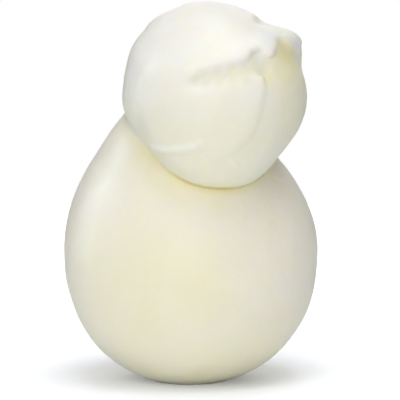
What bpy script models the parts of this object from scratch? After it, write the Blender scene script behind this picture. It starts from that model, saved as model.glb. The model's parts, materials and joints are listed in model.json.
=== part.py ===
"""Scamorza: one hand-shaped piece of fresh stretched-curd cheese.

A pear-shaped body stands on a small flat spot, and the head that was pulled from its neck is folded over to the
front, where it rests on the shoulder. Metres, +Z up. The origin is the middle of the flat spot, the front is -Y,
and +X is the right-hand side seen from the front.
"""

from math import asin, atan2, cos, degrees, hypot, pi, radians, sin

import bmesh
import bpy
from mathutils import Vector

MM = 0.001

# The pear-shaped body
BELLY_RADIUS = 38.3 * MM
BELLY_HEIGHT = 39.0 * MM
BELLY_DEPTH = 0.96
NECK_TIP_HEIGHT = 98.0 * MM
NECK_TAPER = 0.8
BASE_FULLNESS = 2.17
BASE_SAG = 0.9 * MM
BODY_SHIFT_LEFT = 0.1 * MM
NECK_LEAN_LEFT = 3.6 * MM
NECK_LEAN_FORWARD = 5.0 * MM
NECK_LEAN_HEIGHT = 82.0 * MM
BELLY_LEAN_BACK = 4.5 * MM
BODY_SEGMENTS, BODY_RINGS = 60, 36

# The folded head, a ball whose top is pushed to the left
HEAD_CENTRE = Vector((7.1, -15.5, 85.7)) * MM
HEAD_RADII = Vector((26.4, 26.4, 27.2)) * MM
CROWN_SHIFT = 3.4 * MM
CROWN_START = 0.20
CHIN_SAG = 2.8 * MM
CHIN_DIRECTION = Vector((0.05, -0.62, -0.78)).normalized()
CHIN_SPREAD = 70.0
HEAD_SEGMENTS, HEAD_RINGS = 84, 50

SHORTEST_EDGE = 0.35 * MM

CURD_COLOUR = (0.86, 0.82, 0.70, 1.0)
CURD_ROUGHNESS = 0.42

# Folds of the head. Longitude is 0 at the front, 90 at the right and 180 at the back; latitude is 0 at mid-height.
HOOD_EDGE = [
    (-90, 14), (-50, 8), (-22, 6), (-10, 16), (18, 20), (24, 28), (33, 29),
    (42, 25), (52, 33), (66, 41), (105, 39), (150, 26), (210, 16), (270, 14),
]
HOOD_THICKNESS = [(-90, 0.2), (-40, 0.7), (-10, 1.3), (40, 1.9), (110, 1.5), (200, 0.8), (270, 0.2)]
HOOD_CROWN_THICKNESS = 1.2 * MM
HOOD_CROWN_LATITUDES = (50, 80)
CHEEK_TOP = [(-90, 8), (-45, 4), (-5, 3), (12, 7.5), (31, 11)]
CHEEK_SIDE = [(-60, -20), (-45, 8), (-34, 18), (-22, 25), (-10, 28), (11, 31)]
CHEEK_THICKNESS = 1.1 * MM
CHEEK_FADE = (-125, -85)
EDGE_SOFTNESS = 6.0

POCKET = {"longitude": 62, "latitude": 23, "half_width": 17, "half_height": 17, "height": -4.2 * MM}
POCKET_TAIL = {"longitude": 43, "latitude": 15, "half_width": 13, "half_height": 8, "height": -1.2 * MM}
RIM = {"longitude": 88, "latitude": 34, "half_width": 32, "half_height": 19, "height": 4.6 * MM}
TOP_SLOPE = {"longitude": 84, "latitude": 57, "half_width": 32, "half_height": 14, "height": -1.0 * MM}
SIDE_BULGE = {"longitude": 84, "latitude": -6, "half_width": 40, "half_height": 24, "height": 0.7 * MM}
SIDE_FLAT = {"longitude": 88, "latitude": -40, "half_width": 45, "half_height": 30, "height": -2.6 * MM}
CREASE = {"longitude": 12, "latitude": 50, "half_width": 10, "half_height": 26, "height": -0.6 * MM}
LUMPS = (POCKET, POCKET_TAIL, RIM, TOP_SLOPE, SIDE_BULGE, SIDE_FLAT, CREASE)


def smooth(share):
    """0 below 0, 1 above 1, and an even curve between."""
    share = min(1.0, max(0.0, share))
    return share * share * (3.0 - 2.0 * share)


def between(points, place):
    """The value at a place along a list of (place, value) points, held level past both ends."""
    if place <= points[0][0]:
        return points[0][1]
    for (start, low), (end, high) in zip(points, points[1:]):
        if place <= end:
            return low + (high - low) * (place - start) / (end - start)
    return points[-1][1]


def lump(longitude, latitude, shape):
    """The height of a rounded lump, or of a hollow where it is negative."""
    turn = (longitude - shape["longitude"] + 180) % 360 - 180
    across = turn * cos(radians(latitude)) / shape["half_width"]
    up = (latitude - shape["latitude"]) / shape["half_height"]
    return shape["height"] * smooth(1.0 - hypot(across, up))


def hood_height(longitude, latitude):
    """The thick skin over the crown, which ends in a torn lip across the front."""
    over_edge = smooth((latitude - between(HOOD_EDGE, longitude)) / EDGE_SOFTNESS + 0.5)
    start, full = HOOD_CROWN_LATITUDES
    crown = smooth((latitude - start) / (full - start))
    around = between(HOOD_THICKNESS, longitude) * MM
    return (around + (HOOD_CROWN_THICKNESS - around) * crown) * over_edge


def cheek_height(longitude, latitude):
    """The smooth lower layer across the front, which ends in a ridge on the right."""
    turn = (longitude + 180) % 360 - 180
    under_top = smooth((between(CHEEK_TOP, turn) - latitude) / EDGE_SOFTNESS + 0.5)
    inside_ridge = smooth((between(CHEEK_SIDE, latitude) - turn) / EDGE_SOFTNESS + 0.5)
    start, full = CHEEK_FADE
    return CHEEK_THICKNESS * under_top * inside_ridge * smooth((turn - start) / (full - start))


def chin_height(direction):
    """The sag of the head's lower front, where it hangs on the shoulder."""
    return CHIN_SAG * smooth(1.0 - degrees(direction.angle(CHIN_DIRECTION)) / CHIN_SPREAD)


def head_point(direction):
    """Where a point of the unit sphere lies on the head."""
    latitude = degrees(asin(max(-1.0, min(1.0, direction.z))))
    longitude = (degrees(atan2(direction.x, -direction.y)) + 90) % 360 - 90
    point = Vector(direction[i] * HEAD_RADII[i] for i in range(3))
    relief = sum(lump(longitude, latitude, shape) for shape in LUMPS)
    relief += hood_height(longitude, latitude) + cheek_height(longitude, latitude)
    point += direction * (relief + chin_height(direction))
    point.x -= CROWN_SHIFT * smooth((direction.z - CROWN_START) / (1.0 - CROWN_START))
    return HEAD_CENTRE + point


def spine(height):
    """The middle of the body at a height: the belly leans back a little, and the neck left and forward."""
    rise = max(0.0, height - BELLY_HEIGHT) / (NECK_LEAN_HEIGHT - BELLY_HEIGHT)
    right = -BODY_SHIFT_LEFT - NECK_LEAN_LEFT * rise * rise
    back = BELLY_LEAN_BACK * sin(pi * max(0.0, height) / NECK_TIP_HEIGHT) - NECK_LEAN_FORWARD * rise * rise
    return right, back


def body_point(direction):
    """Where a point of the unit sphere lies on the pear, which its own weight flattens where it stands."""
    rise = direction.z
    level = hypot(direction.x, direction.y)
    if rise < 0.0:
        power = 2.0 / BASE_FULLNESS
        height = BELLY_HEIGHT - (BELLY_HEIGHT + BASE_SAG) * (-rise) ** power
        radius = BELLY_RADIUS * level**power
    else:
        height = BELLY_HEIGHT + (NECK_TIP_HEIGHT - BELLY_HEIGHT) * rise
        radius = BELLY_RADIUS * level * (1.0 - NECK_TAPER * rise * rise)
    right, back = spine(height)
    if level > 0.0:
        right += radius * direction.x / level
        back += radius * BELLY_DEPTH * direction.y / level
    return Vector((right, back, max(0.0, height)))


def shaped_sphere(name, segments, rings, place):
    """A sphere primitive with each of its points moved to its place on the piece."""
    mesh = bpy.data.meshes.new(name)
    form = bmesh.new()
    bmesh.ops.create_uvsphere(form, u_segments=segments, v_segments=rings, radius=1.0)
    for vertex in form.verts:
        vertex.co = place(vertex.co.normalized())
    form.to_mesh(mesh)
    form.free()
    return bpy.data.objects.new(name, mesh)


def join(piece, other):
    """A Boolean union of the other piece into this one, applied, with the other then removed."""
    union = piece.modifiers.new("union", "BOOLEAN")
    union.operation = "UNION"
    union.solver = "EXACT"
    union.object = other
    bpy.context.view_layer.update()
    evaluated = piece.evaluated_get(bpy.context.evaluated_depsgraph_get())
    joined = bpy.data.meshes.new_from_object(evaluated)
    piece.modifiers.clear()
    piece.data = joined
    joined.name = piece.name
    bpy.data.objects.remove(other)


def merge_short_edges(piece):
    """Merges the points that the union left too close together along the crease."""
    form = bmesh.new()
    form.from_mesh(piece.data)
    bmesh.ops.remove_doubles(form, verts=form.verts, dist=SHORTEST_EDGE)
    form.to_mesh(piece.data)
    form.free()


def cheese_material():
    """Moist white curd."""
    material = bpy.data.materials.new("fresh_curd")
    material.use_nodes = True
    shader = material.node_tree.nodes["Principled BSDF"]
    shader.inputs["Base Color"].default_value = CURD_COLOUR
    shader.inputs["Roughness"].default_value = CURD_ROUGHNESS
    shader.inputs["Metallic"].default_value = 0.0
    return material


def main():
    for old in list(bpy.data.objects):
        bpy.data.objects.remove(old)
    collection = bpy.data.collections.new("scamorza")
    bpy.context.scene.collection.children.link(collection)

    cheese = shaped_sphere("scamorza", BODY_SEGMENTS, BODY_RINGS, body_point)
    head = shaped_sphere("head", HEAD_SEGMENTS, HEAD_RINGS, head_point)
    collection.objects.link(cheese)
    collection.objects.link(head)
    join(cheese, head)
    merge_short_edges(cheese)

    cheese.data.materials.clear()
    cheese.data.materials.append(cheese_material())
    cheese.data.shade_smooth()


main()
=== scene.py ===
# %% [markdown]
# # A scamorza
#
# A scamorza is a cheese of stretched curd. The maker pulls a hot, elastic lump into a pear, closes its
# neck, and here folds the top of the neck over to the front, where it rests on the shoulder like a small
# head. The skin is smooth and moist, the curd is white with warmer patches, and it turns yellow wherever
# two folds press together.
#
# The lesson starts from a plain solid of the cheese, which gives its size and place, and makes the shape
# that a visitor sees: the same pear and head, with the layers, creases and skin of the real one.

# %% Load the plain solid
import json
import math

import bpy
import numpy as np
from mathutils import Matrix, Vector
from mathutils.bvhtree import BVHTree
from mathutils.kdtree import KDTree

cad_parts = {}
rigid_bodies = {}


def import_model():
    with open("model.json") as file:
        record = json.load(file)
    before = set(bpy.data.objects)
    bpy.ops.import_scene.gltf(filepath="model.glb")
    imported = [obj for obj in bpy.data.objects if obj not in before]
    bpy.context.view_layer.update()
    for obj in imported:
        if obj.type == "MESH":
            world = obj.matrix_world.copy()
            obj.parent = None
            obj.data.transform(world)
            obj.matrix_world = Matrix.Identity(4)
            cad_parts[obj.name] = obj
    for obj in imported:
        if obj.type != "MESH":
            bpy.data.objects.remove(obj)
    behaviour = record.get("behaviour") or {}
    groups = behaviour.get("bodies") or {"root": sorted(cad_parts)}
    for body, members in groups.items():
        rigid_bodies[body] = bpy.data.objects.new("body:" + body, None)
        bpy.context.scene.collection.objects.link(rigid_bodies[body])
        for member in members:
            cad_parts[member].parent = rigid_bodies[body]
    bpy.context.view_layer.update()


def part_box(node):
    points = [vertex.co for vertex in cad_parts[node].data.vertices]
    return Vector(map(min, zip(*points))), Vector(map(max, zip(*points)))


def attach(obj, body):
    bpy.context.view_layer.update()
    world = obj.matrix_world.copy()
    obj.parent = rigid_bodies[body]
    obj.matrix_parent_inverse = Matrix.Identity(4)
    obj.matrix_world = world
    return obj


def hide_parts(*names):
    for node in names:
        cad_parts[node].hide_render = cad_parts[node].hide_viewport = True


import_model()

MM = 0.001
solid_low, solid_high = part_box("scamorza")
print("solid in mm", [round(side / MM, 1) for side in solid_high - solid_low])

# %% [markdown]
# ## The camera
#
# A product picture like this one is taken from far away with a long lens, so the pear keeps its true
# outline. The camera stands 0.7 m in front, 5 degrees above the horizon, and sees 120 mm of the cheese's
# own plane. It comes first because every fold of the head is placed as it looks from here: so many
# millimetres right of the middle and so many above the floor, in the plane of the picture.

# %% Camera
CAMERA_DISTANCE = 700 * MM
CAMERA_ELEVATION = math.radians(5)
PICTURE_WIDTH = 120 * MM
PICTURE_MIDDLE = (2.7 * MM, 54.3 * MM)
CHEESE_MIDDLE = 57.15
SENSOR_WIDTH = 36.0
CLIP_START, CLIP_END = 0.05, 10.0

to_camera = Vector((0, -math.cos(CAMERA_ELEVATION), math.sin(CAMERA_ELEVATION)))
picture_right = Vector((1, 0, 0))
picture_up = Vector((0, math.sin(CAMERA_ELEVATION), math.cos(CAMERA_ELEVATION)))
picture_floor = Vector((0, 0, CHEESE_MIDDLE * MM)) - picture_up * CHEESE_MIDDLE * MM


def picture_point(right, up):
    """The point of the picture's plane so many millimetres right of the middle and above the floor."""
    return picture_floor + picture_right * right * MM + picture_up * up * MM


aim = picture_floor + picture_right * PICTURE_MIDDLE[0] + picture_up * PICTURE_MIDDLE[1]
camera_place = aim + to_camera * CAMERA_DISTANCE

camera = bpy.data.objects.new("camera", bpy.data.cameras.new("camera"))
bpy.context.scene.collection.objects.link(camera)
camera.location = camera_place
camera.rotation_euler = (math.radians(90) - CAMERA_ELEVATION, 0, 0)
camera.data.sensor_width = SENSOR_WIDTH
camera.data.lens = SENSOR_WIDTH * CAMERA_DISTANCE / PICTURE_WIDTH
camera.data.clip_start = CLIP_START
camera.data.clip_end = CLIP_END
bpy.context.scene.camera = camera
print("lens in mm", round(camera.data.lens, 1))

# %% [markdown]
# ## Helpers for modelling by hand
#
# The cheese is modelled the way a hand would: some points are picked, and a move, a resize or a push
# along the surface carries them and, with proportional editing, the skin around them. A few small helpers
# do the picking. `pick` selects points or faces by a test on their places, `along` turns a line drawn in
# the picture into points on the surface, `stroke` pushes the skin out or in along such a line, and `drag`
# moves it. A part of the surface that is hidden stays put while its neighbours move, and `unmask` shows
# it again. `say_size` tells after each step how large the piece has become.

# %% Picking points and faces
def say_size(piece):
    """Prints how wide, deep and high the piece is."""
    print(piece.name, "in mm", [round(side / MM, 1) for side in piece.dimensions])


def start_editing(piece, kind="VERT"):
    """Opens the piece in edit mode with nothing selected."""
    bpy.ops.object.select_all(action="DESELECT")
    bpy.context.view_layer.objects.active = piece
    piece.select_set(True)
    bpy.ops.object.mode_set(mode="EDIT")
    bpy.ops.mesh.select_mode(type=kind)
    bpy.ops.mesh.select_all(action="DESELECT")
    bpy.ops.object.mode_set(mode="OBJECT")


def parts(piece, kind):
    """The piece's points, or its faces."""
    return piece.data.vertices if kind == "VERT" else piece.data.polygons


def places(piece, kind="VERT"):
    """Where the piece's points are, or the middles of its faces, one row each."""
    values = np.empty(len(parts(piece, kind)) * 3)
    parts(piece, kind).foreach_get("co" if kind == "VERT" else "center", values)
    return values.reshape(-1, 3)


def hidden(piece, kind="VERT"):
    """Which of the piece's points or faces are hidden."""
    flags = np.empty(len(parts(piece, kind)), bool)
    parts(piece, kind).foreach_get("hide", flags)
    return flags


def pick(piece, chosen, kind="VERT"):
    """Selects the points or faces that the flags choose, stays in edit mode and says how many."""
    start_editing(piece, kind)
    flags = np.asarray(chosen) & ~hidden(piece, kind)
    parts(piece, kind).foreach_set("select", flags)
    bpy.ops.object.mode_set(mode="EDIT")
    return int(flags.sum())


def done():
    """Leaves edit mode, which stores the move in the mesh."""
    bpy.ops.object.mode_set(mode="OBJECT")


# %% Drawing on the surface
STROKE_STEP = 0.5
FAR_AWAY = 1e3


def spaced(points, step):
    """Points every step along a line through these points."""
    points = [Vector(point) for point in points]
    run = [points[0]]
    for start, end in zip(points, points[1:]):
        count = max(1, round((end - start).length / step))
        run += [start.lerp(end, (i + 1) / count) for i in range(count)]
    return run


def along(piece, line):
    """Where a line drawn in the picture, in millimetres, meets the front of the piece."""
    found = []
    for flat in spaced([(right, up, 0) for right, up in line], STROKE_STEP):
        target = picture_point(flat.x, flat.y)
        hit, place, normal, face = piece.ray_cast(camera_place, (target - camera_place).normalized())
        if hit:
            found.append(place)
    return found


def nearest_points(piece, spots):
    """Flags for the visible point nearest to each spot."""
    here = places(piece)
    here[hidden(piece)] = FAR_AWAY
    flags = np.zeros(len(here), bool)
    for spot in spots:
        flags[np.argmin(((here - np.array(spot)) ** 2).sum(axis=1))] = True
    return flags


def stroke(piece, spots, push, reach):
    """Pushes the skin out by so many millimetres, most at the spots and fading out over the reach."""
    pick(piece, nearest_points(piece, spots))
    bpy.ops.transform.shrink_fatten(
        value=push * MM, use_proportional_edit=True, proportional_edit_falloff="SMOOTH",
        proportional_size=reach * MM)
    done()


def drag(piece, spots, move, reach):
    """Moves the skin by a vector in millimetres, most at the spots and fading out over the reach."""
    pick(piece, nearest_points(piece, spots))
    bpy.ops.transform.translate(
        value=Vector(move) * MM, use_proportional_edit=True, proportional_edit_falloff="SMOOTH",
        proportional_size=reach * MM)
    done()


def unmask(piece):
    """Shows all of the piece again."""
    start_editing(piece)
    bpy.ops.object.mode_set(mode="EDIT")
    bpy.ops.mesh.reveal(select=False)
    done()


# %% [markdown]
# ## The pear-shaped body
#
# Warm curd slumps as it cools, so the belly is widest below half height and the foot is a broad round
# bowl that ends in a small flat spot. It could be a sphere pulled into shape, but a turned shape keeps
# its outline exact: half of the outline is extruded point by point, spun round the upright axis, and each
# ring is then slid sideways, since the belly of this one leans back and its neck leans forward and to the
# left.

# %% Body outline
BELLY_RADIUS = 38.3
BELLY_HEIGHT = 39.0
BELLY_DEPTH = 0.96
NECK_TIP_HEIGHT = 98.0
NECK_TAPER = 0.8
FOOT_FULLNESS = 2.17
FOOT_SAG = 0.9
OUTLINE_STEPS = 90


def body_radius(height):
    """The radius of the pear at a height, in millimetres."""
    if height < BELLY_HEIGHT:
        share = (BELLY_HEIGHT - height) / (BELLY_HEIGHT + FOOT_SAG)
        return BELLY_RADIUS * (1 - share**FOOT_FULLNESS) ** (1 / FOOT_FULLNESS)
    share = (height - BELLY_HEIGHT) / (NECK_TIP_HEIGHT - BELLY_HEIGHT)
    return BELLY_RADIUS * math.sqrt(max(0.0, 1 - share**2)) * (1 - NECK_TAPER * share**2)


def outline():
    """Half of the pear's outline, from the middle of its flat spot to the tip of its neck."""
    quarter = math.pi / 2
    rise = NECK_TIP_HEIGHT - BELLY_HEIGHT
    low = [BELLY_HEIGHT * (1 - math.cos(quarter * i / OUTLINE_STEPS)) for i in range(OUTLINE_STEPS)]
    high = [BELLY_HEIGHT + rise * math.sin(quarter * i / OUTLINE_STEPS) for i in range(OUTLINE_STEPS + 1)]
    return [(0.0, 0.0)] + [(body_radius(height), height) for height in low + high]


print("flat spot across in mm", round(2 * body_radius(0), 1))

# %% Spin the body
SPIN_STEPS = 160
MERGE_DISTANCE = 0.01

bpy.ops.object.select_all(action="DESELECT")
profile = outline()
bpy.ops.mesh.primitive_plane_add(size=MM, location=(0, 0, 0))
body = bpy.context.object
body.name = "body"
bpy.ops.object.mode_set(mode="EDIT")
bpy.ops.mesh.merge(type="CENTER")
for (radius, height), (next_radius, next_height) in zip(profile, profile[1:]):
    step = Vector((next_radius - radius, 0, next_height - height)) * MM
    bpy.ops.mesh.extrude_region_move(TRANSFORM_OT_translate={"value": step})
bpy.ops.mesh.select_all(action="SELECT")
bpy.ops.mesh.spin(steps=SPIN_STEPS, angle=2 * math.pi, center=(0, 0, 0), axis=(0, 0, 1))
bpy.ops.mesh.select_all(action="SELECT")
bpy.ops.mesh.remove_doubles(threshold=MERGE_DISTANCE * MM)
bpy.ops.mesh.normals_make_consistent(inside=False)
bpy.ops.transform.resize(value=(1, BELLY_DEPTH, 1), center_override=(0, 0, 0))
done()
print("body faces", len(body.data.polygons))

# %% Lean the belly and the neck
BODY_SHIFT_LEFT = 0.1
NECK_LEAN_LEFT = 3.6
NECK_LEAN_FORWARD = 5.0
NECK_LEAN_HEIGHT = 82.0
BELLY_LEAN_BACK = 4.5
RING_TOLERANCE = 0.002


def spine(height):
    """How far right and back the middle of the body lies at a height, in millimetres."""
    rise = max(0.0, height - BELLY_HEIGHT) / (NECK_LEAN_HEIGHT - BELLY_HEIGHT)
    right = -BODY_SHIFT_LEFT - NECK_LEAN_LEFT * rise**2
    back = BELLY_LEAN_BACK * math.sin(math.pi * height / NECK_TIP_HEIGHT) - NECK_LEAN_FORWARD * rise**2
    return right, back


for radius, height in profile[2:]:
    ring = np.abs(places(body)[:, 2] - height * MM) < RING_TOLERANCE * MM
    pick(body, ring)
    right, back = spine(height)
    bpy.ops.transform.translate(value=(right * MM, back * MM, 0))
    done()
say_size(body)

# %% [markdown]
# ## The head
#
# The head is the pulled end of the neck, rolled over into a ball. It starts as a sphere primitive with
# enough rings to carry folds half a millimetre wide. Its crown is pushed to the left and its chin sags on
# to the shoulder. These are soft, broad shapes, so each is one move with a wide proportional reach.

# %% Head ball
HEAD_CENTRE = Vector((7.1, -15.5, 85.7))
HEAD_RADII = Vector((26.3, 26.4, 27.2))
HEAD_SEGMENTS, HEAD_RINGS = 320, 200

bpy.ops.object.select_all(action="DESELECT")
bpy.ops.mesh.primitive_uv_sphere_add(segments=HEAD_SEGMENTS, ring_count=HEAD_RINGS, radius=MM)
head = bpy.context.object
head.name = "head"
bpy.ops.object.mode_set(mode="EDIT")
bpy.ops.mesh.select_all(action="SELECT")
bpy.ops.transform.resize(value=HEAD_RADII)
bpy.ops.transform.translate(value=HEAD_CENTRE * MM)
done()
print("head faces", len(head.data.polygons))


def direction(longitude, latitude):
    """A step of length 1 towards a longitude, 0 at the front and 90 at the right, and a latitude."""
    around, up = math.radians(longitude), math.radians(latitude)
    return Vector((math.sin(around) * math.cos(up), -math.cos(around) * math.cos(up), math.sin(up)))


def on_head(longitude, latitude):
    """The point of the plain ball in this direction from its middle."""
    way = direction(longitude, latitude)
    return (HEAD_CENTRE + Vector(way[i] * HEAD_RADII[i] for i in range(3))) * MM


# %% [markdown]
# Nine broad strokes give the ball its outline. Each is written as its places, a longitude and a latitude
# each, then how far it pushes the skin out or in, and how far round it the skin follows. The rim at the
# right is drawn out twice, first wide and then narrow, so that it stands up from a broad foot.

# %% Broad shape of the head
CROWN = on_head(0, 90)
CROWN_PUSH = (-3.2, 0, 0)
RIM = [on_head(88, 40), on_head(100, 33), on_head(114, 30)]
RIM_STEP = 1.5 * MM
BROAD_STROKES = {
    "left of the dome": ([(-90, 36), (-86, 50)], 1.9, 15),
    "chin": ([(5, -50)], 0.9, 26),
    "under the left roll": ([(-75, -28)], -1.7, 13),
    "left of the chin": ([(-58, -44)], -1.0, 12),
    "crown": ([(-30, 85)], 0.8, 18),
    "left of the crown": ([(-90, 62)], -0.7, 8),
    "right of the chin": ([(88, -38)], -1.5, 20),
    "right side": ([(84, -6)], 0.8, 18),
    "left roll": ([(-84, 0)], 0.7, 12),
}

drag(head, [CROWN], CROWN_PUSH, reach=24)
for spots, push, reach in BROAD_STROKES.values():
    stroke(head, [on_head(*spot) for spot in spots], push, reach)
stroke(head, spaced(RIM, RIM_STEP), push=0.7, reach=11)
stroke(head, spaced(RIM, RIM_STEP), push=2.6, reach=9)
say_size(head)

# %% [markdown]
# ## The hood
#
# The outer layer of the head is a sheet of curd drawn over the crown. It ends across the front in a torn
# lip, low and faint on the left, thick and curled up on the right. A second object laid over the ball
# would leave a seam, so the sheet grows out of the ball itself: the faces above the lip are extruded
# along their normals, which gives them an edge, and the points of the sheet are kept in a vertex group.
# Behind the head, where the picture shows nothing, the lip is a line of longitudes and latitudes. With
# the rest hidden, the edge is then lifted, most along the torn flap, and the rim gets its dip and its
# front.

# %% Places round the head
HEAD_SEAM = -90.0


def on_globe(points):
    """The longitudes and latitudes of points, seen from the middle of the head, in degrees."""
    ways = (np.asarray(points) / MM - np.array(HEAD_CENTRE)) / np.array(HEAD_RADII)
    ways /= np.linalg.norm(ways, axis=1, keepdims=True)
    longitude = np.degrees(np.arctan2(ways[:, 0], -ways[:, 1]))
    return (longitude - HEAD_SEAM) % 360 + HEAD_SEAM, np.degrees(np.arcsin(ways[:, 2]))


def line_height(longitude, line):
    """The latitude at which a line round the head passes these longitudes."""
    return np.interp(longitude, [point[0] for point in line], [point[1] for point in line])


def in_picture(points):
    """How far right and up points are seen in the picture, in millimetres."""
    away = np.asarray(points) - np.array(camera_place)
    scale = CAMERA_DISTANCE / -(away @ np.array(to_camera)) / MM
    right = away @ np.array(picture_right) * scale + PICTURE_MIDDLE[0] / MM
    up = away @ np.array(picture_up) * scale + PICTURE_MIDDLE[1] / MM
    return right, up


def keep_group(piece, name):
    """Stores the points selected in edit mode as a vertex group, and leaves edit mode."""
    piece.vertex_groups.new(name=name)
    bpy.ops.object.vertex_group_assign()
    done()


def mask_group(piece, name, outside=False):
    """Hides the points of a vertex group, or all the others."""
    start_editing(piece)
    bpy.ops.object.mode_set(mode="EDIT")
    bpy.ops.object.vertex_group_set_active(group=name)
    bpy.ops.object.vertex_group_select()
    bpy.ops.mesh.hide(unselected=outside)
    done()


# %% Lip of the hood
LIP = [
    (-19.1, 90.6), (-12.3, 90.0), (-1.8, 90.0), (1.8, 92.6), (3.4, 94.2), (9.8, 95.0), (15.9, 96.2),
    (17.8, 99.2), (20.6, 99.8), (24.0, 97.9), (24.9, 99.8), (26.2, 102.6), (28.2, 103.3), (30.0, 103.0),
    (31.8, 102.4), (33.0, 101.7),
]
LIP_BEHIND = [(98, 31), (120, 28), (170, 22), (225, 16), (270, 12)]
HOOD_THICKNESS = 0.12

front_lip = [spot for spot in zip(*on_globe(along(head, LIP))) if spot[0] < LIP_BEHIND[0][0]]
lip_round_head = sorted(front_lip + LIP_BEHIND)
longitude, latitude = on_globe(places(head, "FACE"))
count = pick(head, latitude > line_height(longitude, lip_round_head), "FACE")
bpy.ops.mesh.extrude_region_shrink_fatten(TRANSFORM_OT_shrink_fatten={"value": HOOD_THICKNESS * MM})
keep_group(head, "hood")
print("faces in the hood", count)

# %% Lift the lip
LIP_MIDDLE = [(1.8, 92.8), (9.8, 95.4), (15.9, 96.6), (17.8, 99.6), (20.6, 100.2), (24.0, 98.4)]
FLAP = [(17.8, 99.7), (20.6, 100.3), (24.0, 98.6)]
RIM_SADDLE = on_head(95, 46)
RIM_FRONT = on_head(92, 26)

mask_group(head, "hood", outside=True)
stroke(head, along(head, LIP_MIDDLE), push=0.65, reach=7)
stroke(head, along(head, FLAP), push=0.5, reach=6)
stroke(head, [RIM_SADDLE], push=-1.2, reach=6)
stroke(head, [RIM_FRONT], push=0.6, reach=6)
unmask(head)
say_size(head)

# %% [markdown]
# ## The cheek
#
# Under the hood lies a second sheet, the smooth cheek that fills the front of the head. Its top edge runs
# below the lip and leaves a shallow channel between them, and its right-hand edge curls down to the chin
# as a soft ridge. To the left it melts into the head. It is made like the hood: a thin extrusion, whose
# two free edges are then lifted.

# %% Cheek sheet
CHEEK_TOP = [
    (-8.0, 88.2), (-0.2, 87.4), (3.4, 87.0), (7.4, 87.8), (11.1, 89.4), (18.3, 91.0), (21.6, 91.4),
]
CHEEK_SIDE = [
    (6.2, 66.1), (9.8, 67.3), (13.0, 69.3), (15.9, 71.7), (17.9, 74.1), (19.3, 77.0), (20.3, 80.2),
    (21.1, 83.8), (21.7, 87.0), (21.6, 91.0),
]
CHEEK_THICKNESS = 0.06
CHEEK_BEGINS = HEAD_CENTRE.y - 4

middles = places(head, "FACE")
right, up = in_picture(middles)
below_top = up < np.interp(right, *zip(*CHEEK_TOP))
side_right, side_up = zip(*CHEEK_SIDE)
inside_ridge = right < np.interp(up, side_up, side_right)
facing_front = middles[:, 1] < CHEEK_BEGINS * MM
count = pick(head, below_top & inside_ridge & facing_front, "FACE")
bpy.ops.mesh.extrude_region_shrink_fatten(TRANSFORM_OT_shrink_fatten={"value": CHEEK_THICKNESS * MM})
keep_group(head, "cheek")
print("faces in the cheek", count)

# %% Lift the cheek's edges
mask_group(head, "cheek", outside=True)
stroke(head, along(head, CHEEK_SIDE[1:]), push=0.5, reach=7)
stroke(head, along(head, CHEEK_TOP[2:]), push=0.12, reach=6)
unmask(head)
say_size(head)

# %% Channel under the lip
CHANNEL = [(0.5, 90.0), (5.0, 91.2), (9.8, 92.2), (14.0, 93.4), (18.5, 94.6), (21.5, 94.4)]
ARCH = [(19.6, 98.4), (20.6, 95.8), (21.8, 92.8)]

mask_group(head, "hood")
mask_group(head, "cheek")
stroke(head, along(head, CHANNEL), push=-0.45, reach=4.2)
stroke(head, along(head, ARCH), push=-0.3, reach=3.4)
unmask(head)
say_size(head)

# %% [markdown]
# ## The pocket
#
# On the right the hood was torn as it was folded, and stands open like the rim of a purse. The pocket
# behind it is the deepest hollow of the cheese, and the curd in it has kept its yellow. It is pressed in
# with the hood masked, so that the rim stays sharp, and it drains down to the left into the channel under
# the lip.

# %% Press the pocket in
POCKET = [on_head(71, 31), on_head(80, 28)]
POCKET_STEP = 1.0 * MM
POCKET_DRAIN = [(27.5, 95.5), (25.0, 93.5), (22.6, 91.5)]

mask_group(head, "hood")
mask_group(head, "cheek")
stroke(head, spaced(POCKET, POCKET_STEP), push=-0.7, reach=8.5)
stroke(head, along(head, POCKET_DRAIN), push=-0.25, reach=4.5)
unmask(head)
say_size(head)

# %% [markdown]
# ## Small folds of the head
#
# The crown ends on the right in a small corner, and below it the torn flap slopes down to the rim. A hand
# leaves small marks too: a crease where the flap bends away from the crown, a ledge of thin skin low on
# the left, a groove beside the left-hand roll, and two pinholes where air was caught. All are short,
# shallow strokes.

# %% Slope beside the crown
CROWN_END = [(15.5, 110.2), (17.0, 109.8)]
CROWN_CORNER = [(18.3, 109.4), (18.9, 109.0)]
CROWN_NOTCH = [(20.4, 108.0), (21.4, 107.4)]
RIM_DIP = on_head(97, 50)

stroke(head, along(head, CROWN_END), push=0.6, reach=6)
stroke(head, [RIM_DIP], push=-1.8, reach=9)
stroke(head, along(head, CROWN_CORNER), push=0.5, reach=2.6)
stroke(head, along(head, CROWN_NOTCH), push=-0.7, reach=3.0)
say_size(head)

# %% Small folds
CROWN_CREASE = [(19.9, 108.2), (18.9, 106.6), (18.4, 104.6)]
CHIN_LEDGE = [(-11.8, 70.5), (-9.3, 69.8), (-6.3, 69.6), (-3.3, 69.8), (0.6, 70.3), (3.0, 71.1)]
CHIN_LEDGE_SHADE = [(-10.6, 68.6), (-7.0, 67.8), (-3.0, 68.0), (1.0, 68.6)]
ROLL_GROOVE = [(-14.4, 86.0), (-15.6, 80.5), (-15.0, 76.5)]
CHIN_NICK = [(11.4, 66.6), (12.6, 65.9), (13.4, 64.8)]
PINHOLES = [(12.0, 75.7), (-0.9, 78.0)]

stroke(head, along(head, CROWN_CREASE), push=-0.08, reach=2.4)
stroke(head, along(head, CHIN_LEDGE), push=0.8, reach=2.3)
stroke(head, along(head, CHIN_LEDGE_SHADE), push=-0.15, reach=2.4)
stroke(head, along(head, ROLL_GROOVE), push=-0.25, reach=4.5)
stroke(head, along(head, CHIN_NICK), push=0.3, reach=1.3)
for pinhole in PINHOLES:
    stroke(head, along(head, [pinhole, pinhole]), push=-0.35, reach=0.9)
say_size(head)

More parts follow.
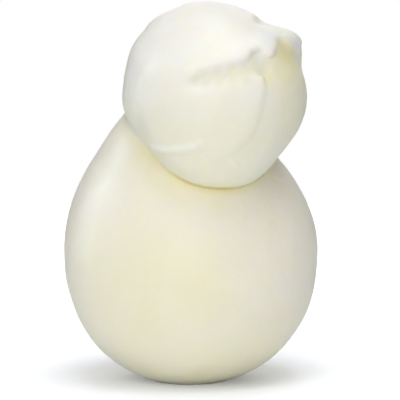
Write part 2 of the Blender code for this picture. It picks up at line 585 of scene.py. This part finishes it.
# %% [markdown]
# ## One piece of curd
#
# The head was never a separate piece, so the two meshes become one skin. A Boolean union would leave long
# thin faces along the fold. A voxel remesh covers both with even squares instead, and closes the fold as
# the soft curd does. Before the two are joined, the points of the body that touch the head are noted, and
# a search tree of each skin is kept, because the smoothing and the colours below ask how near a point is
# to the fold, and on which side of it.

# %% Where head and body meet
FOLD_WIDTH = 0.7

head_skin = BVHTree.FromObject(head, bpy.context.evaluated_depsgraph_get())
body_skin = BVHTree.FromObject(body, bpy.context.evaluated_depsgraph_get())
fold_spots = [
    vertex.co.copy() for vertex in body.data.vertices
    if head_skin.find_nearest(vertex.co)[3] < FOLD_WIDTH * MM
]
print("points along the fold", len(fold_spots))

# %% Join and remesh
VOXEL = 0.45

bpy.ops.object.select_all(action="DESELECT")
head.select_set(True)
body.select_set(True)
bpy.context.view_layer.objects.active = body
bpy.ops.object.join()
cheese = bpy.context.object
cheese.name = "scamorza_curd"
cheese.data.name = "scamorza_curd"
cheese.vertex_groups.clear()


def finish_with(kind, **settings):
    """Adds a modifier to the cheese, with these settings, and applies it."""
    modifier = cheese.modifiers.new(kind.lower(), kind)
    for name, value in settings.items():
        setattr(modifier, name, value)
    bpy.ops.object.modifier_apply(modifier=modifier.name)


finish_with("REMESH", mode="VOXEL", voxel_size=VOXEL * MM)
heights = places(cheese)[:, 2]
pick(cheese, heights == heights.min())
bpy.ops.mesh.select_linked()
bpy.ops.mesh.select_all(action="INVERT")
bpy.ops.mesh.delete(type="VERT")
done()
print("faces after the remesh", len(cheese.data.polygons))

# %% [markdown]
# ## Smooth where the curd flows
#
# A light Smooth takes the steps of the voxels out of the whole skin. Behind the neck the curd is drawn
# from the body into the head without a crease, so a second, much stronger Smooth is held to a vertex
# group there. Its weights come from the distance to the fold, full at the fold and nothing past its
# reach. Two more groups soften the edges of the cheek and of the lip, the faint left-hand half the most.
# The front crease keeps its edge.

# %% Nearness
def nearness(points, spots, reach):
    """1 at the spots, 0 from the reach on, and an even curve between. The reach is in millimetres."""
    tree = KDTree(len(spots))
    for number, spot in enumerate(spots):
        tree.insert(spot, number)
    tree.balance()
    share = np.array([1 - tree.find(point)[2] / (reach * MM) for point in points]).clip(0, 1)
    return share * share * (3 - 2 * share)


# %% Smoothing near a place
SMOOTH_FACTOR = 0.5
LEAST_WEIGHT = 0.01


def smooth_near(name, spots, reach, rounds):
    """Smooths the cheese near the spots, through a vertex group whose weights fade out over the reach."""
    weights = nearness(places(cheese), spots, reach)
    group = cheese.vertex_groups.new(name=name)
    for number in np.flatnonzero(weights > LEAST_WEIGHT):
        group.add([int(number)], float(weights[number]), "REPLACE")
    finish_with("SMOOTH", factor=SMOOTH_FACTOR, iterations=rounds, vertex_group=name)


# %% Smooth the skin
SKIN_ROUNDS = 4
NECK_START = 9.0
FAINT_LIP = [(-18.6, 90.6), (-12.3, 90.0), (0.0, 90.2), (3.4, 94.0), (9.8, 94.8), (14.6, 95.8)]

finish_with("SMOOTH", factor=SMOOTH_FACTOR, iterations=SKIN_ROUNDS)
behind = [spot for spot in fold_spots if spot.y > (HEAD_CENTRE.y + NECK_START) * MM]
smooth_near("neck", behind, reach=13.0, rounds=400)
soft_edges = along(cheese, CHEEK_SIDE[:-1]) + along(cheese, CHEEK_TOP[2:6]) + along(cheese, FAINT_LIP)
smooth_near("ridge", soft_edges, reach=4.0, rounds=30)
smooth_near("lip", along(cheese, LIP_MIDDLE) + along(cheese, FLAP), reach=2.5, rounds=12)
print("points of the fold behind the neck", len(behind))

# %% [markdown]
# ## Stretch marks
#
# Where the neck bends, the skin of the body is drawn into short, shallow furrows that run from the fold
# towards the belly. On the front only one thin fold shows, on the right shoulder. The back is not in the
# picture, so its furrows are a guess: the skin there was stretched over the bend, and each furrow starts
# deep at the neck and fades out. It is pressed in four times, each time a quarter longer, which gives it
# that taper.

# %% Furrows round the neck
FURROW_STEP = 1.2 * MM
FURROW_WIDTH = 3.4
FURROW_LENGTHS = (0.25, 0.5, 0.75, 1.0)
FURROW_BENDS = 4
DEEP_FURROWS = [(146, 84, 25, -4), (184, 86, 27, 4), (229, 82, 24, 6)]
SHALLOW_FURROWS = [(124, 80, 17, -7), (165, 85, 19, 3), (206, 84, 20, -4)]
SHOULDER_CREASE = [(22.0, 62.8), (24.5, 62.2), (27.5, 60.4)]


def on_body(longitude, height):
    """The point of the body at a longitude, 0 at the front and 90 at the right, and a height."""
    around = math.radians(longitude)
    right, back = spine(height)
    right += body_radius(height) * math.sin(around)
    back -= body_radius(height) * BELLY_DEPTH * math.cos(around)
    return Vector((right, back, height)) * MM


def press_furrows(furrows, depth):
    """Presses furrows, each a longitude, the height of its top, a length and a turn in degrees."""
    for share in FURROW_LENGTHS:
        spots = []
        for longitude, top, length, turn in furrows:
            steps = [share * i / FURROW_BENDS for i in range(FURROW_BENDS + 1)]
            line = [on_body(longitude + turn * step, top - length * step) for step in steps]
            spots += spaced(line, FURROW_STEP)
        stroke(cheese, spots, push=-depth / len(FURROW_LENGTHS), reach=FURROW_WIDTH)


press_furrows(DEEP_FURROWS, depth=1.0)
press_furrows(SHALLOW_FURROWS, depth=0.6)
stroke(cheese, along(cheese, SHOULDER_CREASE), push=0.25, reach=1.6)
say_size(cheese)

# %% [markdown]
# ## A hand-made surface
#
# Curd that was stretched and slapped into shape is smooth but never a true ball. A Displace modifier with
# a soft cloud texture moves the skin by a few tenths of a millimetre over a thumb's width, which is
# enough to bend the light on it. Decimate then brings the mesh down to a size that is easy to carry, and
# the lowest points are flattened with one resize, since the cheese stands on them.

# %% Uneven skin
LUMP_SIZE = 16.0
LUMP_HEIGHT = 0.6
LUMP_LEVEL = 0.4
MOST_TRIANGLES = 190_000

lumps = bpy.data.textures.new("lumps", "CLOUDS")
lumps.noise_scale = LUMP_SIZE * MM
lumps.noise_depth = 1
finish_with(
    "DISPLACE", texture=lumps, texture_coords="LOCAL", strength=LUMP_HEIGHT * MM, mid_level=LUMP_LEVEL)
triangles = 2 * len(cheese.data.polygons)
finish_with("DECIMATE", ratio=min(1.0, MOST_TRIANGLES / triangles))
print("triangles", triangles, "now", len(cheese.data.polygons))

# %% Flat spot
FLAT_LAYER = 0.3

pick(cheese, places(cheese)[:, 2] < FLAT_LAYER * MM)
bpy.ops.transform.resize(value=(1, 1, 0), center_override=(0, 0, 0))
done()
cheese.vertex_groups.clear()
cheese.data.shade_smooth()
say_size(cheese)

# %% [markdown]
# ## Where the curd turns yellow, and where shade and light are painted
#
# Fresh curd is white where air and brine reach it and stays yellow in its folds. The colour follows the
# shape, so it is stored on the points as numbers from 0 to 1, as if painted on with a soft brush. Each
# finish has a layer of its own: the folds and the pocket, yellow that is partly painted shade; painted
# shade in the channel under the lip; the seam under the chin, a yellow line with a painted shadow; the
# buttery patch low on the belly, with painted shade towards the foot; the head; painted shade on its
# lower and right-hand side; and painted highlights on the flap, the rim and the ledge. The material reads
# the layers later.
#
# Two measures say where a layer belongs. `gap` is how far a point is from the further of the two skins,
# so it is small only in the fold. `body_side` is 1 on the body and 0 on the head.

# %% Painting on the points
SIDE_BLEND = 1.2
FRONT_TO_BACK = ((HEAD_CENTRE.y + 4, HEAD_CENTRE.y + 16), (1, 0.1))


def paint(name, values):
    """Stores a number from 0 to 1 on each point of the cheese."""
    layer = cheese.data.attributes.new(name, "FLOAT", "POINT")
    layer.data.foreach_set("value", np.asarray(values, dtype=np.float32))
    print(name, "covers", round(100 * float(np.mean(values > 0.05)), 1), "percent of the points")


here = places(cheese)
right, back, height = here[:, 0] / MM, here[:, 1] / MM, here[:, 2] / MM
to_body = np.array([body_skin.find_nearest(point)[3] for point in here])
to_head = np.array([head_skin.find_nearest(point)[3] for point in here])
body_side = (0.5 + (to_head - to_body) / (SIDE_BLEND * MM)).clip(0, 1)
gap = np.maximum(to_head, to_body) / MM
at_front = np.interp(back, *FRONT_TO_BACK)


def dab(line, reach, strength=1.0):
    """A soft dab of paint along a line drawn in the picture."""
    return strength * nearness(here, along(cheese, line), reach)


# %% [markdown]
# The yellow of the folds, partly the curd's own and partly painted shade, is built up from five soft
# patches: the crease under the head, a patch that spreads from it on to the shoulder, the pocket, its
# drain and the corner of the cheek. Patches that overlap add up the way paint does, each one colouring
# what the others left dry. Here and below, a pair of rows gives distances in millimetres and how strong
# the paint is at each: a width runs outwards from the fold, what is called across runs from left to
# right, and a fade runs upwards.

# %% Paint the folds: their yellow and painted shade
CREASE_WIDTH = ((0.3, 1.4, 3.0), (1, 0.6, 0))
CREASE_ACROSS = ((-16, -8, 0, 12, 18, 26), (0.35, 0.6, 1, 0.9, 0.5, 0.4))
CREASE_ON_HEAD = 0.15
STAIN_ACROSS = ((-22, -12, 8, 20), (0.1, 0.45, 0.35, 0.1))
POCKET_YELLOW = [(27.4, 100.0), (29.6, 99.0), (27.4, 97.8), (29.2, 96.8)]
DRAIN_YELLOW = [(26.6, 96.0), (30.6, 95.0), (25.0, 93.8), (29.0, 92.8), (24.0, 92.4)]
CORNER_YELLOW = [(22.8, 91.4), (22.6, 90.4)]

# The crease, the shoulder patch, the pocket, its drain and the corner are painted shade of creases and
# hollows, over the curd's own yellow.
crease_shade = np.interp(gap, *CREASE_WIDTH) * (CREASE_ON_HEAD + (1 - CREASE_ON_HEAD) * body_side)
crease_shade *= np.interp(right, *CREASE_ACROSS) * at_front
stain_and_shade = nearness(here, fold_spots, reach=12.0) * body_side * at_front
stain_and_shade *= np.interp(right, *STAIN_ACROSS)
pocket_shade = dab(POCKET_YELLOW, reach=5.0, strength=0.9)
drain_shade = dab(DRAIN_YELLOW, reach=5.5, strength=0.35)
corner_shade = dab(CORNER_YELLOW, reach=3.0, strength=0.35)
dry = np.prod([1 - crease_shade, 1 - stain_and_shade, 1 - pocket_shade, 1 - drain_shade, 1 - corner_shade], axis=0)
paint("fold_yellow_and_shade", 1 - dry)

# %% Paint the shade of the channel and the seam
CHANNEL_SHADE_SPOTS = [
    (1.2, 90.3), (4.2, 91.8), (4.2, 89.7), (8.1, 92.7), (8.1, 89.7), (12.3, 93.3), (12.3, 90.3),
    (16.5, 93.9), (16.5, 90.6), (19.2, 96.3), (19.8, 92.1), (22.5, 95.7),
]
SEAM_WIDTH = ((0.35, 1.0), (1, 0))
SEAM_ACROSS = ((-9, 0, 11, 17, 28), (0, 1, 1, 0.5, 0.3))

# Painted shade: the channel under the lip is painted darker and greyer, where the lip shades it.
paint("channel_shade", dab(CHANNEL_SHADE_SPOTS, reach=2.6))
# The seam under the chin is partly the curd's own yellow and partly a painted shadow line in the crease.
paint("seam", np.interp(gap, *SEAM_WIDTH) * at_front * np.interp(right, *SEAM_ACROSS))

# %% Paint the belly, the shade of the foot and the head
BUTTERY_PATCH = [on_body(-2, 31), on_body(-20, 34), on_body(-38, 30), on_body(-20, 23)]
FOOT_SHADE_FADE = ((4, 30), (1, 0))

# The buttery patch is the curd's own colour; the same colour towards the foot is painted shade, darker
# towards the floor.
foot_shade = np.interp(height, *FOOT_SHADE_FADE)
paint("butter_and_foot_shade", np.maximum(nearness(here, BUTTERY_PATCH, reach=30), foot_shade))
paint("head", 1 - body_side)

# %% Paint the shade of the head's lower and right-hand side
LOW_SIDE_FADE = ((76, 96), (0.75, 0))
RIGHT_SIDE_ACROSS = ((18, 28), (0, 1))
RIGHT_SIDE_FADE = ((95, 103), (1, 0))

# Painted shade: the head's lower and right-hand side, which face away from the light, get a darker cream.
right_side_shade = np.interp(right, *RIGHT_SIDE_ACROSS) * np.interp(height, *RIGHT_SIDE_FADE)
paint("head_shade", (1 - body_side) * np.maximum(np.interp(height, *LOW_SIDE_FADE), right_side_shade))

# %% Paint highlights on the torn flap, the rim and the ledge
TORN_FLAP = [(20.0, 102.0), (24.0, 102.0), (24.2, 100.0), (21.6, 101.4), (21.6, 105.0), (24.5, 104.6)]
RIM_TOP = [(27.6, 102.8), (30.4, 101.8), (32.2, 100.4)]

# Painted highlights: the flap, the rim and the ledge are painted whiter, as if more light fell on them.
flap_highlight = dab(TORN_FLAP, reach=4.4)
rim_highlight = dab(RIM_TOP, reach=2.8)
ledge_highlight = dab(CHIN_LEDGE[:-1], reach=1.5, strength=0.6)
paint("flap_highlight", np.maximum.reduce([flap_highlight, rim_highlight, ledge_highlight]))

# %% [markdown]
# ## The curd
#
# Curd is a wet, dense solid that light enters: it is never quite dark, its edges glow, and its shadows
# are warm. So the shader scatters light below the surface, red the furthest. Each painted layer mixes one
# more colour in: a cooler white for the stretched head, a darker cream as painted shade on its lower and
# right-hand side and a greyer one as painted shade in the channel, the whitest white as painted highlight
# on the flap, the rim and the ledge, butter for the belly and as painted shade towards the foot, yellow
# for the folds that is partly painted shade, and a brown yellow for the seam with a painted shadow line.
# Slow noise makes them cloudy. Water on the skin gives a soft, uneven gloss, which is weaker on the head,
# and two fine bumps give the faint grain of the curd.
#
# The node tree is built in code, so a few helpers keep it short. `add_node` makes a node and fills its
# sockets, `spread` stretches a range of values to another one, and `painted`, `clouds` and `blend` are
# the paint layer, the noise and the mixing that the curd needs. A Mix node has sockets of every type, so
# its share and its colours are found by number.

# %% Helpers for the nodes
def new_tree(block):
    """The node tree of a new material or world."""
    block.use_nodes = True
    return block.node_tree


def add_node(tree, kind, inputs, **settings):
    """A node with these settings, whose inputs are linked to other nodes or set to values."""
    node = tree.nodes.new(kind)
    for name, value in settings.items():
        setattr(node, name, value)
    for name, value in inputs.items():
        if isinstance(value, bpy.types.NodeSocket):
            tree.links.new(value, node.inputs[name])
        else:
            node.inputs[name].default_value = value
    return node


def spread(tree, value, from_range, to_range):
    """A value's range, stretched or squeezed to another one."""
    low, high = from_range
    to_low, to_high = to_range
    ends = {"Value": value, "From Min": low, "From Max": high, "To Min": to_low, "To Max": to_high}
    return add_node(tree, "ShaderNodeMapRange", ends).outputs["Result"]


def times(tree, first, second):
    """The product of two values."""
    return add_node(tree, "ShaderNodeMath", {0: first, 1: second}, operation="MULTIPLY").outputs["Value"]


# %% Helpers for the curd
MIX_SHARE, MIX_FIRST, MIX_SECOND, MIX_RESULT = 0, 6, 7, 2

curd = bpy.data.materials.new("stretched_curd")
curd_tree = new_tree(curd)
curd_sockets = curd_tree.nodes["Principled BSDF"].inputs
position = add_node(curd_tree, "ShaderNodeTexCoord", {}).outputs["Object"]


def painted(name):
    """A layer that was painted on the points."""
    return add_node(curd_tree, "ShaderNodeAttribute", {}, attribute_name=name).outputs["Fac"]


def clouds(size, detail=2.0):
    """Soft noise, with clouds of about this many millimetres."""
    ends = {"Vector": position, "Scale": 1 / (size * MM), "Detail": detail}
    return add_node(curd_tree, "ShaderNodeTexNoise", ends).outputs["Fac"]


def blend(share, first, second):
    """A colour between two, by a share."""
    sockets = {MIX_SHARE: share, MIX_FIRST: first, MIX_SECOND: second}
    return add_node(curd_tree, "ShaderNodeMix", sockets, data_type="RGBA").outputs[MIX_RESULT]


# %% [markdown]
# The layers go on in order, from the whites of the body and the head to the seam on top. Three of them
# are cloudy. Each cloud has a size, the range of its noise, which crowds round 0.5, and the strengths
# that the layer has at the two ends of that range.

# %% Colours of the curd
BODY_WHITE = (0.90, 0.86, 0.745, 1)
HEAD_WHITE = (0.885, 0.868, 0.82, 1)
# Painted shade: a darker cream on the head's lower and right-hand side.
HEAD_SHADE_CREAM = (0.87, 0.85, 0.67, 1)
# Painted highlight: the whitest white on the flap, the rim and the ledge.
FLAP_HIGHLIGHT_WHITE = (0.95, 0.95, 0.90, 1)
# The curd's own butter yellow, also used as painted shade towards the foot.
BUTTER_AND_FOOT_SHADE = (0.87, 0.828, 0.61, 1)
# Painted shade: a darker, greyer cream in the channel under the lip.
CHANNEL_SHADE_CREAM = (0.80, 0.79, 0.65, 1)
# Yellow of the folds: partly the curd's own colour, partly painted shade in creases and the pocket.
FOLD_YELLOW_AND_SHADE = (0.83, 0.75, 0.36, 1)
# The seam's brown yellow: partly the curd's own colour, partly a painted shadow line.
SEAM_SHADE = (0.64, 0.52, 0.13, 1)

# %% Clouds in the colours
BUTTER_CLOUDS, BUTTER_NOISE, BUTTER_STRENGTH = 22.0, (0.3, 0.65), (0.55, 1.0)
MOTTLE_CLOUDS, MOTTLE_NOISE, MOTTLE_STRENGTH = 7.0, (0.35, 0.65), (0.0, 0.22)
FOLD_CLOUDS, FOLD_NOISE, FOLD_STRENGTH = 5.0, (0.3, 0.7), (0.7, 1.0)

butter_clouds = spread(curd_tree, clouds(BUTTER_CLOUDS), BUTTER_NOISE, BUTTER_STRENGTH)
mottle = spread(curd_tree, clouds(MOTTLE_CLOUDS), MOTTLE_NOISE, MOTTLE_STRENGTH)
fold_clouds = spread(curd_tree, clouds(FOLD_CLOUDS, detail=3.0), FOLD_NOISE, FOLD_STRENGTH)

# %% Mix the colours
SEAM_STRENGTH = 0.75

colour = blend(painted("head"), BODY_WHITE, HEAD_WHITE)
colour = blend(painted("head_shade"), colour, HEAD_SHADE_CREAM)
colour = blend(painted("channel_shade"), colour, CHANNEL_SHADE_CREAM)
colour = blend(painted("flap_highlight"), colour, FLAP_HIGHLIGHT_WHITE)
colour = blend(times(curd_tree, painted("butter_and_foot_shade"), butter_clouds), colour, BUTTER_AND_FOOT_SHADE)
colour = blend(mottle, colour, BUTTER_AND_FOOT_SHADE)
colour = blend(times(curd_tree, painted("fold_yellow_and_shade"), fold_clouds), colour, FOLD_YELLOW_AND_SHADE)
colour = blend(times(curd_tree, painted("seam"), SEAM_STRENGTH), colour, SEAM_SHADE)
curd_tree.links.new(colour, curd_sockets["Base Color"])
print("nodes so far", len(curd_tree.nodes))

# %% Gloss
GLOSS_CLOUDS, GLOSS_NOISE, GLOSS = 9.0, (0.35, 0.65), (0.42, 0.58)
SHINE = (0.5, 0.4)
WATER = (0.13, 0.04)
WATER_ROUGHNESS = 0.35
SCATTER_RADIUS = (1.0, 0.8, 0.45)
SCATTER_DEPTH = 3.2
SCATTER_SHARE = 0.75

gloss = spread(curd_tree, clouds(GLOSS_CLOUDS, detail=3.0), GLOSS_NOISE, GLOSS)
curd_tree.links.new(gloss, curd_sockets["Roughness"])
curd_sockets["Subsurface Weight"].default_value = SCATTER_SHARE
curd_sockets["Subsurface Radius"].default_value = SCATTER_RADIUS
curd_sockets["Subsurface Scale"].default_value = SCATTER_DEPTH * MM
curd_tree.links.new(spread(curd_tree, painted("head"), (0, 1), SHINE), curd_sockets["Specular IOR Level"])
curd_tree.links.new(spread(curd_tree, painted("head"), (0, 1), WATER), curd_sockets["Coat Weight"])
curd_sockets["Coat Roughness"].default_value = WATER_ROUGHNESS
print("red light enters the curd by", SCATTER_DEPTH, "mm")

# %% Grain
GRAIN_SIZE, GRAIN_DEPTH, GRAIN_STRENGTH = 1.1, 0.2, 0.12
DIMPLE_SIZE, DIMPLE_DEPTH, DIMPLE_STRENGTH = 4.5, 0.6, 0.25


def bump(height, depth, strength, **below):
    """A bump of this depth in millimetres, over the bump below it."""
    ends = {"Height": height, "Distance": depth * MM, "Strength": strength, **below}
    return add_node(curd_tree, "ShaderNodeBump", ends).outputs["Normal"]


grain = bump(clouds(GRAIN_SIZE, detail=3.0), GRAIN_DEPTH, GRAIN_STRENGTH)
dimples = bump(clouds(DIMPLE_SIZE), DIMPLE_DEPTH, DIMPLE_STRENGTH, Normal=grain)
curd_tree.links.new(dimples, curd_sockets["Normal"])
cheese.data.materials.clear()
cheese.data.materials.append(curd)
print("nodes in the curd", len(curd_tree.nodes))

# %% [markdown]
# ## Floor, background and light
#
# The cheese was photographed on white, with hardly any shadow, so all the light is broad: one soft box
# above, one in front and to the left, a low one in front that fills the shadow of the chin, and one
# behind. A tall narrow one far left gives no light of its own and is seen only as a pale sheen down the
# flank. The floor has a glow that only the camera sees. It grows outwards, so that the floor melts into
# the white background without throwing light up at the cheese. Round the foot the glow is weakest, which
# paints a soft grey shadow there on top of the real one.

# %% Floor
FLOOR_SIZE = 1.2
FLOOR_WHITE = (0.90, 0.92, 0.96, 1)
FLOOR_ROUGHNESS = 0.9
# The glow is weakest round the foot, so the grey there is partly a painted shadow on the floor.
FLOOR_GLOW = (0.16, 0.9)
GLOW_DISTANCES = (0.02, 0.22)
PURE_WHITE = (1, 1, 1, 1)

bpy.ops.object.select_all(action="DESELECT")
bpy.ops.mesh.primitive_plane_add(size=FLOOR_SIZE, location=(0, 0, 0))
floor = bpy.context.object
floor.name = "floor"

paper = bpy.data.materials.new("white_paper")
paper_tree = new_tree(paper)
paper_sockets = paper_tree.nodes["Principled BSDF"].inputs
paper_sockets["Base Color"].default_value = FLOOR_WHITE
paper_sockets["Roughness"].default_value = FLOOR_ROUGHNESS
paper_sockets["Specular IOR Level"].default_value = 0.0
paper_sockets["Emission Color"].default_value = PURE_WHITE
floor_place = add_node(paper_tree, "ShaderNodeTexCoord", {}).outputs["Object"]
distance = add_node(paper_tree, "ShaderNodeVectorMath", {0: floor_place}, operation="LENGTH")
glow = spread(paper_tree, distance.outputs["Value"], GLOW_DISTANCES, FLOOR_GLOW)
seen = add_node(paper_tree, "ShaderNodeLightPath", {}).outputs["Is Camera Ray"]
paper_tree.links.new(times(paper_tree, glow, seen), paper_sockets["Emission Strength"])
floor.data.materials.append(paper)
print("floor", FLOOR_SIZE, "m wide")

# %% Background
AMBIENT = 0.22
SEEN_WHITE = 1.0

room = bpy.data.worlds.new("white_room")
room_tree = new_tree(room)
bpy.context.scene.world = room
background = room_tree.nodes["Background"].inputs
background["Color"].default_value = PURE_WHITE
seen = add_node(room_tree, "ShaderNodeLightPath", {}).outputs["Is Camera Ray"]
room_tree.links.new(spread(room_tree, seen, (0, 1), (AMBIENT, SEEN_WHITE)), background["Strength"])
bpy.context.scene.view_settings.view_transform = "Standard"
print("light from all round", AMBIENT)

# %% Soft boxes
LIGHT_AIM = Vector((0, 0, 55 * MM))
SHEEN_COLOUR = (0.75, 0.88, 1.0)


def soft_box(name, azimuth, elevation, distance, width, height, power):
    """An area light that faces the cheese. Azimuth 0 is the front and 90 the right. Sizes in metres."""
    light = bpy.data.lights.new(name, "AREA")
    light.shape = "RECTANGLE"
    light.size, light.size_y = width, height
    light.energy = power
    holder = bpy.data.objects.new(name, light)
    bpy.context.scene.collection.objects.link(holder)
    way = direction(azimuth, elevation)
    holder.location = LIGHT_AIM + way * distance
    holder.rotation_euler = (-way).to_track_quat("-Z", "Y").to_euler()
    print(name, "at", [round(side, 2) for side in holder.location])
    return holder


soft_box("top", azimuth=25, elevation=78, distance=1.1, width=0.7, height=0.7, power=5.6)
soft_box("key", azimuth=-20, elevation=34, distance=1.3, width=1.2, height=1.0, power=5.0)
soft_box("fill", azimuth=-2, elevation=8, distance=1.4, width=1.0, height=0.4, power=4.6)
soft_box("back", azimuth=172, elevation=30, distance=1.4, width=1.2, height=0.8, power=4.0)
sheen = soft_box("sheen", azimuth=-102, elevation=14, distance=1.1, width=0.2, height=1.0, power=8.0)
sheen.data.color = SHEEN_COLOUR
sheen.visible_diffuse = False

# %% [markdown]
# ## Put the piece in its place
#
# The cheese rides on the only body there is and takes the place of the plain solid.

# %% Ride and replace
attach(cheese, "root")
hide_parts("scamorza")
